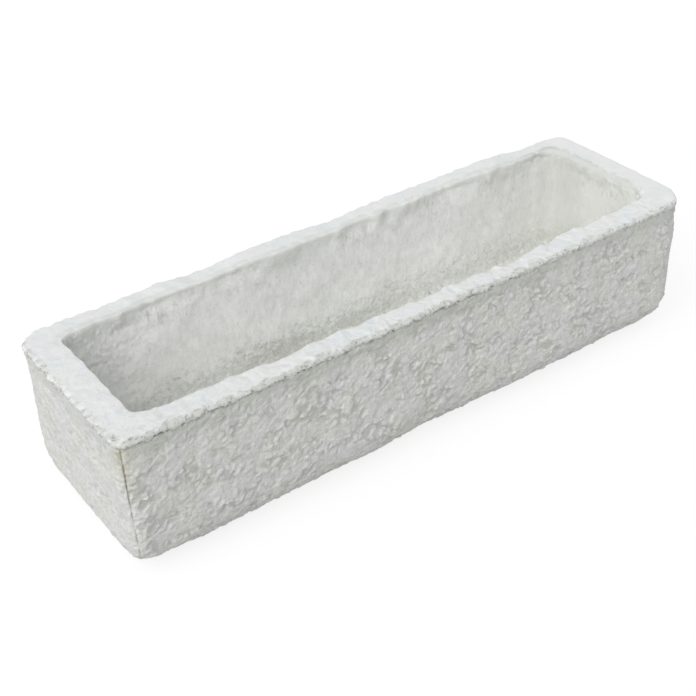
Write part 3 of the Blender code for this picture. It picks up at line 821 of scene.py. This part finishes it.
def make_rim(finish):
    """The mortar band, laid by hand: a low section with soft edges carried round the mouth.

    Its inner edge follows the lobes of mortar that reach into the trough and rolls over onto the
    wall, its outer edge ripples and chips, its top swells and dips, and facets cover it."""
    plan = Plan(OUTSIDE_RADII, RIM_STEP, -BAND_INSET)
    outer, outward = plan.rings([0], [0], OUTSIDE_RADII[None])
    outer = outer[0]
    inner = plan.rings([END_WALL], [SIDE_WALL], MOUTH_RADII[None])[0][0]
    round_it = lengths_round(outer)
    whole = round_it[-1] + RIM_STEP
    reach = mouth_reach(inner, outward)
    outer = outer - np.column_stack((end_draw(outer, outward), np.zeros(len(outer))))
    closing = smooth_step(round_it, 0, CLOSING_RAMP) * smooth_step(whole - round_it, 0, CLOSING_RAMP)

    def wander(depth, shortest, longest, seed):
        return depth * closing * wave_line(round_it, (shortest, longest), seed)

    back = turned_to(outward, 0, 1)
    front = turned_to(outward, 0, -1)
    left = smooth_step(-outward[:, 0], 0.3, 0.9)
    at_end = smooth_step(outward[:, 0], 0.2, 0.8)
    smoothed = smooth_step(np.maximum(outward[:, 0], outward[:, 1]), 0.2, 0.8)
    facing = smooth_step(-outward[:, 0] - outward[:, 1], -0.2, 0.6)
    dip = back_dip(outer, outward)
    over = OVERHANG - EDGE_SETBACK + (1 - 0.7 * at_end) * wander(*EDGE_WANDER, 31)
    crumbled = smooth_step(wander(*CRUMBLED, 49), -0.2, 1.0)
    low_edge = RIM_LOW - LOW_EDGE_DROP + wander(*LOW_EDGE_WANDER, 33)
    low_edge += (1 + CRUMBS_MORE * crumbled) * wander(*CRUMBS_LEAST, 45)
    low_edge -= FRONT_DROP * smooth_step(outer[:, 0], *FRONT_DROP_FROM) * front
    low_edge = np.clip(low_edge, *(RIM_LOW + np.array(LOW_EDGE_LIMITS)))
    smear = BACK_SMEAR_SHARE * through(BACK_REACH, outer[:, 0]) * back
    corner = np.hypot(inner[:, 0] - LENGTH / 2 + END_WALL, inner[:, 1] + WIDTH / 2 - SIDE_WALL)
    filled = np.exp(-((corner / FILL_REACH) ** 2))
    skirt = np.maximum(SKIRT + wander(*SKIRT_WANDER, 41) + smear, SKIRT_LEAST)
    skirt = skirt + FILL_SKIRT * filled
    top = RIM_TOP - TOP_DROP + TOP_SWELL * np.sin(FULL_TURN * TOP_SWELLS * round_it / whole)
    worn = WORN + (1 - 0.7 * at_end) * wander(*WORN_WANDER, 43)
    worn = np.clip(worn, *WORN_LIMITS) * (1 + 0.25 * facing)
    soft = worn * (1 - 0.52 * facing - 90 * dip)
    outer_top = top - dip
    inner_top = top - 0.3 * dip + 0.35 * np.minimum(reach, 0)

    def outside(beyond, level):
        return np.column_stack((outer + (beyond - dip)[:, None] * outward, level))

    def inside(beyond, level):
        return np.column_stack((inner - beyond[:, None] * outward, level))

    flat_low = np.full_like(top, RIM_LOW)
    crest = outer_top - soft
    section = [outside(0 * top - 0.004, flat_low)]
    section += [outside(beyond, np.minimum(low_edge + rise, crest - spare))
                for beyond, (rise, spare) in zip((0 * top - 0.0010, 0.6 * over, over), LOWER_BEADS)]
    section += [outside(over - worn * (1 - np.cos(turn)), outer_top - soft * (1 - np.sin(turn)))
                for turn in QUARTER_TURN * np.linspace(0, 1, EDGE_TURNS)]
    start = section[-1]
    below_top = (RIM_DEEP + skirt)[None, :] * np.linspace(0, 1, LAP_ROWS)[:, None] ** 2
    sinking = LAP_SINK + (BACK_LAP_SINK - LAP_SINK) * back
    proud = LAP_PROUD - sinking * smooth_step(below_top, RIM_DEEP - 0.001, RIM_DEEP + skirt)
    falling = [inside(reach - shoulder(depth, outward) + past, inner_top - depth)
               for depth, past in zip(below_top, proud)]
    section += [start + (falling[0] - start) * (share, share, share**3)
                for share in np.arange(1, TOP_ROWS + 1) / (TOP_ROWS + 1)]
    section += falling + [inside(0 * top - BAND_BED, flat_low)]
    grid = np.stack(section)
    normals = outward_normals(grid, rows_closed=True)

    flat_x, flat_y, tall = np.moveaxis(grid, -1, 0)
    bend = [MORTAR_BEND * wave_field(flat_x, flat_y, MORTAR_BEND_WAVES, 16, seed) for seed in (51, 53)]
    bent = grid + np.stack((*bend, 0 * tall), axis=-1)
    broad_facets = facet_field(bent, BROAD_FACET_WAVES, 13, 35)
    small_facets = facet_field(bent, SMALL_FACET_WAVES, 8, 47)
    lumps = stroke_field(bent[:, :, 0], bent[:, :, 1], MORTAR_LUMP_SIZE, 39, MORTAR_HEADING)
    chips = stroke_field(flat_x, flat_y + tall, MORTAR_CHIP_SIZE, 37, MORTAR_HEADING)
    shown, side, dirt = np.zeros((3, len(section), 1))
    shown[:, 0] = 1
    shown[:3, 0] = (0, 0.3, 0.6)
    shown[-9:, 0] = (*np.linspace(0.9, 0.25, 8), 0)
    side[:len(CHIPPED_SHARES), 0] = CHIPPED_SHARES
    dirt[:len(DIRTY_SHARES), 0] = DIRTY_SHARES
    upper = smooth_step(np.arange(len(section)), 3, 8)[:, None]
    chipping = side * (1 - 0.85 * upper * smoothed)
    grimy = dirt * (1 - upper * np.maximum(0.85 * smoothed, 0.40 * left)) - 0.40 * upper * smoothed
    height = BROAD_FACET_HEIGHT * broad_facets + MORTAR_LUMP_HEIGHT * (lumps - 0.45)
    height += (SMALL_FACET_HEIGHTS[0] + SMALL_FACET_HEIGHTS[1] * chipping) * small_facets
    height += (MORTAR_CHIP_HEIGHTS[0] + MORTAR_CHIP_HEIGHTS[1] * chipping) * (chips - 0.4)
    height *= (1 - 0.62 * smoothed - 0.22 * at_end - 0.46 * left) * shown
    grid = grid + normals * height[:, :, None]

    # How much of the wall's colour and painted shade each point takes, none where the corner is filled
    skirted = np.zeros((len(section), plan.columns)) - 1.1 * filled
    right = smooth_step(outward[:, 0], 0, 0.8)
    for shares, where in ((SKIRT_SHARES, 1), (END_SKIRT_SHARES, right), (BACK_SKIRT_SHARES, back)):
        skirted[-len(shares):] += np.array(shares)[:, None] * where
    marks = {"side": grimy, "skirt": skirted}
    faces = grid_faces(len(section), plan.columns, True, True).tolist()
    make_piece("rim_mortar_band", grid, faces, finish, "rim_capping", marks)


class Nodes:
    """Short ways to add nodes to a tree and to link them."""

    def __init__(self, owner):
        owner.use_nodes = True
        self.tree = owner.node_tree

    def feed(self, socket, value):
        """Links a socket where the value is a socket and sets it where it is not."""
        if isinstance(value, bpy.types.NodeSocket):
            self.tree.links.new(value, socket)
        else:
            socket.default_value = value

    def add(self, kind, inputs=None, **settings):
        """One node with its settings and inputs."""
        node = self.tree.nodes.new(kind)
        for name, value in settings.items():
            setattr(node, name, value)
        for name, value in (inputs or {}).items():
            self.feed(node.inputs[name], value)
        return node

    def chain(self, operation, first, *others):
        """Numbers joined one after the other by one operation."""
        for other in others:
            first = self.add("ShaderNodeMath", {0: first, 1: other}, operation=operation).outputs[0]
        return first

    def times(self, *factors):
        return self.chain("MULTIPLY", *factors)

    def plus(self, *terms):
        return self.chain("ADD", *terms)

    def most(self, *values):
        return self.chain("MAXIMUM", *values)


class Finish(Nodes):
    """A material under construction. Its colour is laid on in coats, each over the last."""

    def __init__(self, name, roughness, metallic=0.0):
        self.material = bpy.data.materials.new(name)
        super().__init__(self.material)
        self.surface = self.tree.nodes["Principled BSDF"]
        self.feed(self.surface.inputs["Roughness"], roughness)
        self.feed(self.surface.inputs["Metallic"], metallic)
        self.feed(self.surface.inputs["Specular IOR Level"], 0.25)
        self.place = self.add("ShaderNodeTexCoord").outputs["Object"]
        self.axes = self.add("ShaderNodeSeparateXYZ", {0: self.place}).outputs
        self.tint = None

    def noise(self, size, detail=2.0, roughness=0.5, stretch=None):
        """Smooth noise whose patches are about one size across, stretched where asked."""
        place = self.place
        if stretch:
            place = self.add("ShaderNodeMapping", {"Vector": place, "Scale": stretch}).outputs[0]
        grain = {"Vector": place, "Scale": 1 / size, "Detail": detail, "Roughness": roughness}
        return self.add("ShaderNodeTexNoise", grain).outputs["Fac"]

    def rise(self, value, low, high, bottom=0.0, top=1.0):
        """A smooth rise of a value between two levels."""
        ends = {"Value": value, "From Min": low, "From Max": high, "To Min": bottom, "To Max": top}
        return self.add("ShaderNodeMapRange", ends, interpolation_type="SMOOTHSTEP").outputs["Result"]

    def patches(self, grain, *levels):
        """Noise of a grain (size, detail, roughness, stretch) that rises between two levels."""
        return self.rise(self.noise(*grain), *levels)

    def mark(self, name):
        """A number that each point of the piece carries."""
        return self.add("ShaderNodeAttribute", attribute_name=name).outputs["Fac"]

    def mix(self, share, first, second, blend="MIX"):
        """Two colours mixed by a share."""
        node = self.add("ShaderNodeMix", data_type="RGBA", blend_type=blend)
        for socket, value in zip((node.inputs[0], *node.inputs[6:8]), (share, first, second)):
            self.feed(socket, (*value, 1) if isinstance(value, tuple) else value)
        return node.outputs[2]

    def base(self, share, first, second):
        """The first coat, of two colours."""
        self.tint = self.mix(share, first, second)

    def lay(self, share, colour):
        """A coat of another colour, as strong as its share."""
        self.tint = self.mix(share, self.tint, colour)

    def vary(self, factor):
        """Makes the colour lighter and darker by a factor."""
        self.tint = self.mix(1.0, self.tint, factor, "MULTIPLY")

    def scatter(self, size, low, high, most, colour, stretch=None):
        """Small scattered spots of one colour."""
        self.lay(self.patches((size, 2.0, 0.7, stretch), low, high, 0.0, most), colour)

    def bump(self, *layers):
        """Bumps on top of each other: pairs of a height field and its depth in metres."""
        normal = None
        for field, depth in layers:
            node = self.add("ShaderNodeBump", {"Height": field, "Distance": depth, "Strength": 1.0})
            if normal:
                self.feed(node.inputs["Normal"], normal)
            normal = node.outputs["Normal"]
        self.feed(self.surface.inputs["Normal"], normal)

    def done(self):
        """The material with its last coat."""
        self.feed(self.surface.inputs["Base Color"], self.tint)
        return self.material


def stone_outside():
    """Weathered grey cast stone with struck relief, faint warm and cool clouds and a stained seam."""
    look = Finish("hammered cast stone", 0.93)
    along, across, tall = look.axes
    look.base(look.patches((0.040, 1.0), 0.42, 0.60), (0.682, 0.688, 0.650), (0.682, 0.680, 0.678))
    look.vary(look.patches((0.008, 5.0, 0.65), 0.30, 0.70, 0.92, 1.06))
    look.vary(look.patches((0.0018, 2.0, 0.7), 0.30, 0.70, 0.93, 1.06))
    relief = look.mark("relief")
    # Darker in the creases and hollows of the relief, partly the stone's own colour and partly painted
    # shade, and a painted highlight on its crests
    look.lay(look.rise(relief, -0.10, -0.60, 0.0, 0.50), (0.43, 0.43, 0.39))
    look.lay(look.rise(relief, 0.12, 0.50, 0.0, 0.26), (0.75, 0.75, 0.74))
    look.scatter(0.0024, 0.64, 0.75, 0.80, (0.36, 0.36, 0.33))
    # Rare darker spots: painted shade of small deep pits
    look.scatter(0.0036, 0.68, 0.76, 0.90, (0.22, 0.22, 0.19), (1, 1, 1.5))
    look.scatter(0.0030, 0.69, 0.77, 0.50, (0.90, 0.90, 0.88), (1, 1.1, 1.2))
    # A dirty strip with blots under the band, and the joint's dark line, partly painted shadow under the
    # band's overhang
    spared = look.rise(along, *SPARED_END, 0.35, 1.0)
    ragged = look.plus(tall, look.patches((0.012, 5.0, 0.65), 0.3, 0.7, -0.011, 0.007))
    strip = look.times(look.rise(ragged, *STRIP_HEIGHTS, 0.0, 0.80), spared)
    look.lay(strip, (0.560, 0.575, 0.530))
    blots = look.patches((0.0035, 3.0, 0.7), 0.58, 0.68, 0.0, 0.75)
    look.lay(look.times(strip, blots), (0.30, 0.30, 0.26))
    # The joint's dark line: partly a dark joint and partly painted shadow under the band's overhang
    joint_and_shadow = look.rise(tall, *JOINT_SHADOW_HEIGHTS, 0.0, 0.60)
    look.lay(look.times(joint_and_shadow, look.patches((0.008, 4.0, 0.6), 0.48, 0.66), spared), (0.24, 0.24, 0.20))
    # The seam: a stain about it and a line in it
    seam = look.mark("seam")
    stain = look.times(look.rise(seam, *SEAM_STAIN_REACH), look.rise(tall, *SEAM_STAIN_HEIGHTS, 0.05, 0.8))
    look.lay(look.times(stain, look.patches((0.006, 3.0), 0.32, 0.62)), (0.42, 0.41, 0.31))
    line = look.times(look.rise(seam, *SEAM_LINE_REACH), look.rise(tall, *SEAM_LINE_HEIGHTS, 0.05, 0.70))
    look.lay(line, (0.26, 0.25, 0.20))
    look.bump((look.noise(0.0042, 3.0, 0.65), 0.0011), (look.noise(0.0014, 3.0, 0.7), 0.00035))
    return look.done()


def stone_inside():
    """The plain cast inside: drag streaks down the walls, blotches, pits and a stain at the floor."""
    look = Finish("plain cast stone", 0.93)
    along, across, tall = look.axes
    # The stone itself, paler than outside, partly as painted light against the shade of the trough;
    # painted light at the left, and painted shade at the right and in the corners
    look.base(look.patches((0.060, 3.0), 0.36, 0.64), (0.886, 0.888, 0.876), (0.872, 0.878, 0.862))
    # Painted light at the left, against the shade that the left end casts inside
    look.lay(look.rise(along, -0.06, -0.24), (0.934, 0.936, 0.920))
    # Painted shade towards the right, where the lamp and the right end light the inside more
    right_shade = look.times(look.rise(along, 0.19, 0.31, 0.0, 0.38), look.rise(along, 0.312, 0.336, 1.0, 0.5))
    look.lay(right_shade, (0.694, 0.700, 0.667))
    # The right end's inner face: painted shade, deepest towards its back corner where the lamp strikes it
    far_end_shade = look.mix(look.rise(across, -0.01, 0.060), (0.748, 0.754, 0.720), (0.656, 0.661, 0.626))
    look.lay(look.rise(along, 0.334, 0.351), far_end_shade)
    # Painted shade in the inside corners
    look.lay(look.rise(look.mark("corner"), 0.0, 1.0, 0.0, 0.28), (0.680, 0.694, 0.670))
    plain = look.tint
    look.vary(look.patches((0.014, 5.0, 0.65), 0.30, 0.70, 0.94, 1.04))
    look.vary(look.patches((0.0050, 5.0, 0.70, (1, 1, 0.33)), 0.32, 0.68, 0.945, 1.030))
    look.vary(look.patches((0.0020, 2.0, 0.7), 0.30, 0.70, 0.98, 1.02))
    look.lay(look.rise(along, 0.31, 0.355, 0.0, 0.55), plain)
    # Painted shade with some stain in the cove at the foot of the walls, and painted shade under the lip
    cove = look.times(look.rise(tall, *COVE_SHADE_HEIGHTS, 0.0, 0.42),
                      look.rise(tall, *FLOOR_LINE_HEIGHTS, 0.35, 1.0),
                      look.rise(along, -0.20, -0.08, 0.50, 1.0), look.rise(along, -0.04, 0.16, 1.0, 0.64))
    look.lay(cove, (0.16, 0.17, 0.13))
    under_lip = look.plus(tall, look.patches((0.012, 5.0, 0.65), 0.3, 0.7, -0.008, 0.008))
    shaded = look.times(look.rise(under_lip, *UNDER_LIP_HEIGHTS, 0.0, 0.54),
                        look.rise(along, 0.16, 0.345, 1.0, 0.0))
    look.lay(shaded, (0.715, 0.728, 0.704))
    # The water stain, with a wavy upper edge, speckles, and dark and pale crumbs
    wavy = look.plus(tall, look.patches((0.060, 2.0), 0.25, 0.75, -0.012, 0.012),
                     look.rise(along, -0.20, -0.05, 0.006, 0.001),
                     look.patches((0.009, 5.0, 0.7), 0.25, 0.75, -0.014, 0.014))
    stain = look.times(look.rise(wavy, *STAIN_HEIGHTS), look.rise(along, -0.24, -0.09, 0.65, 0.94),
                       look.rise(along, -0.02, 0.20, 1.0, 0.40))
    grime = look.times(look.most(stain, look.rise(along, -0.26, -0.355, 0.0, 0.20)),
                       look.patches((0.0060, 5.0, 0.75, (0.6, 0.6, 1)), 0.40, 0.62, 0.08, 1.0))
    look.lay(grime, (0.652, 0.665, 0.609))
    foot = look.rise(wavy, *CRUMB_HEIGHTS)
    crumbs = look.noise(0.0040, 3.0, 0.7, (0.8, 0.8, 1))
    look.lay(look.times(foot, look.rise(crumbs, 0.54, 0.66, 0.0, 0.55)), (0.47, 0.48, 0.43))
    look.lay(look.times(foot, look.rise(crumbs, 0.45, 0.34, 0.0, 0.55)), (0.93, 0.93, 0.90))
    # Bluish mottling in the left corner, partly painted shade under the left rim
    mottling_and_shade = look.patches((0.0070, 4.0, 0.7), 0.38, 0.64, 0.0, 0.6)
    look.lay(look.times(look.rise(along, -0.27, -0.345), mottling_and_shade), (0.742, 0.764, 0.762))
    look.scatter(0.0034, 0.64, 0.75, 0.70, (0.45, 0.46, 0.40))
    look.scatter(0.0050, 0.66, 0.76, 0.55, (0.56, 0.58, 0.53), (1, 1, 0.3))
    # Dirt in runs under the lip, pale flecks, and mortar smeared in the near right corner, partly painted
    # light over the shade there
    runs = look.patches((0.0044, 4.0, 0.7, (1, 1, 0.4)), 0.47, 0.62, 0.0, 0.60)
    where = look.most(look.patches((0.045, 2.0), 0.42, 0.62), look.rise(along, 0.30, 0.35, 0.0, 0.4))
    look.lay(look.times(look.rise(under_lip, *LIP_DIRT_HEIGHTS), runs, where), (0.54, 0.55, 0.50))
    look.scatter(0.0030, 0.70, 0.78, 0.60, (0.96, 0.96, 0.94), (1, 1.1, 1.2))
    # Pale mortar smear, partly painted light over the shade in the near right corner
    smear_and_light = look.times(look.rise(along, 0.335, 0.350), look.rise(across, -0.050, -0.075),
                         look.rise(tall, *SMEAR_AND_LIGHT_HEIGHTS))
    look.lay(smear_and_light, (0.90, 0.90, 0.88))
    look.bump((look.noise(0.006, 4.0, 0.65), 0.0005), (look.noise(0.0016, 3.0, 0.7), 0.00022),
              (look.times(grime, look.noise(0.0055, 4.0, 0.7)), 0.0012))
    return look.done()


def rim_mortar():
    """Near white mortar with a faint blue cast, facets, and grime along its lower edges."""
    look = Finish("rim mortar", 0.90)
    along, across, tall = look.axes
    look.base(look.patches((0.022, 3.0), 0.36, 0.64), (0.782, 0.808, 0.812), (0.816, 0.824, 0.816))
    look.vary(look.rise(along, -0.375, -0.345, 0.985, 0.965))
    plain = look.tint
    look.vary(look.patches((0.006, 5.0, 0.65), 0.30, 0.70, 0.95, 1.02))
    look.vary(look.patches((0.0018, 2.0, 0.7), 0.30, 0.70, 0.96, 1.02))
    smoothed = look.most(look.rise(along, 0.350, 0.370), look.rise(across, 0.082, 0.092, 0.0, 0.45))
    look.lay(look.times(smoothed, 0.75), plain)
    # Grime on the outer side, most of all near the front left corner
    near = look.times(look.rise(along, -0.28, -0.35, 0.0, 0.15), look.rise(across, -0.02, -0.10))
    side = look.plus(look.mark("side"), look.patches((0.010, 5.0, 0.7), 0.35, 0.65, -0.45, 0.35), near)
    grime = look.times(look.rise(side, 0.20, 0.85), look.rise(along, 0.08, 0.20, 1.0, 0.7))
    look.lay(grime, (0.590, 0.602, 0.572))
    # The wall's colour and painted shade where the mortar thins out over it, behind a ragged edge
    ragged = look.times(look.patches((0.012, 6.0, 0.75), 0.35, 0.65, -0.45, 0.45),
                        look.rise(along, 0.33, 0.36, 1.0, 0.5))
    # Painted shade on the right end's roll-over where it turns to the lamp, lighter lower down
    rolled = look.mix(look.rise(tall, *ROLL_SHADE_HEIGHTS), (0.785, 0.794, 0.768), (0.612, 0.622, 0.596))
    lapped = look.mix(look.rise(tall, *LAPPED_HEIGHTS), (0.790, 0.798, 0.777), (0.690, 0.700, 0.678))
    wall = look.mix(look.rise(along, 0.28, 0.35), lapped, rolled)
    look.lay(look.rise(look.plus(look.mark("skirt"), ragged), 0.30, 0.75), wall)
    blots = look.times(look.rise(side, 0.50, 0.90), look.patches((0.0034, 3.0, 0.7), 0.53, 0.64))
    look.lay(blots, (0.33, 0.33, 0.30))
    look.scatter(0.0026, 0.68, 0.78, 0.60, (0.55, 0.56, 0.54))
    bumpy = look.rise(smoothed, 0.0, 1.0, 1.0, 0.25)
    look.bump((look.times(bumpy, look.noise(0.005, 3.0, 0.6)), 0.0006),
              (look.times(bumpy, look.noise(0.0013, 3.0, 0.7)), 0.00022))
    return look.done()


def bar_steel():
    """Drawn mild steel with mill scale and light rust."""
    look = Finish("bar steel", 0.55, 1.0)
    rust = look.patches((0.006, 4.0, 0.6), 0.48, 0.66)
    look.base(rust, (0.32, 0.29, 0.27), (0.26, 0.15, 0.09))
    look.feed(look.surface.inputs["Roughness"], look.rise(rust, 0.0, 1.0, 0.42, 0.85))
    look.bump((look.noise(0.0015, 3.0, 0.7), 0.00008))
    return look.done()


def make_camera():
    """The camera at the photograph's place, turned, tilted and rolled as the photograph was taken."""
    lens = bpy.data.cameras.new("camera")
    lens.lens = CAMERA_LENS
    lens.sensor_width = CAMERA_SENSOR
    camera = placed("camera", lens)
    turned = Matrix.Rotation(CAMERA_AZIMUTH, 4, "Z")
    tilted = Matrix.Rotation(QUARTER_TURN - CAMERA_ELEVATION, 4, "X")
    rolled = Matrix.Rotation(CAMERA_ROLL, 4, "Z")
    camera.matrix_world = Matrix.Translation(CAMERA_PLACE) @ turned @ tilted @ rolled
    bpy.context.scene.camera = camera


def make_sky():
    """An even pale sky: white to the camera and in reflections, and softer as light."""
    world = bpy.data.worlds.new("studio")
    bpy.context.scene.world = world
    nodes = Nodes(world)
    path = nodes.add("ShaderNodeLightPath").outputs
    seen = nodes.most(path["Is Camera Ray"], path["Is Glossy Ray"])
    level = nodes.add("ShaderNodeMapRange", {"Value": seen, "To Min": SKY_LEVEL})
    sky = nodes.tree.nodes["Background"]
    sky.inputs["Color"].default_value = (1, 1, 1, 1)
    nodes.feed(sky.inputs["Strength"], level.outputs["Result"])


def make_key():
    """One wide soft lamp, high on the left and in front."""
    lamp = bpy.data.lights.new("key", "SUN")
    lamp.energy = KEY_LEVEL
    lamp.angle = KEY_SOFTNESS
    placed("key", lamp).matrix_world = Vector(KEY_FROM).to_track_quat("Z", "Y").to_matrix().to_4x4()


def make_ground():
    """A plain white floor that keeps a soft shadow of the trough.

    To the camera it is part white glow and part lit surface, so that it meets the white sky."""
    material = bpy.data.materials.new("white floor")
    nodes = Nodes(material)
    nodes.tree.nodes.remove(nodes.tree.nodes["Principled BSDF"])
    lit = nodes.add("ShaderNodeBsdfDiffuse", {"Color": (FLOOR_SHADE, FLOOR_SHADE, FLOOR_SHADE, 1)})
    glow = nodes.add("ShaderNodeEmission", {"Strength": FLOOR_GLOW})
    path = nodes.add("ShaderNodeLightPath").outputs
    share = nodes.times(path["Is Camera Ray"], FLOOR_GLOW_SHARE)
    mixed = nodes.add("ShaderNodeMixShader", {0: share, 1: lit.outputs[0], 2: glow.outputs[0]})
    nodes.feed(nodes.tree.nodes["Material Output"].inputs["Surface"], mixed.outputs[0])
    corners = [(x * FLOOR_REACH, y * FLOOR_REACH, 0) for x, y in ((-1, -1), (1, -1), (1, 1), (-1, 1))]
    mesh = bpy.data.meshes.new("floor")
    mesh.from_pydata(corners, [], [(0, 1, 2, 3)])
    mesh.materials.append(material)
    floor = placed("floor", mesh)


make_camera()
make_sky()
make_key()
make_ground()
make_outer_skin(stone_outside())
make_inside(stone_inside())
make_rim(rim_mortar())
steel = bar_steel()
for name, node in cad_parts.items():
    if name not in ("trough_body", "rim_capping"):
        node.data.materials.clear()
        node.data.materials.append(steel)
bpy.context.scene.view_settings.view_transform = "Standard"
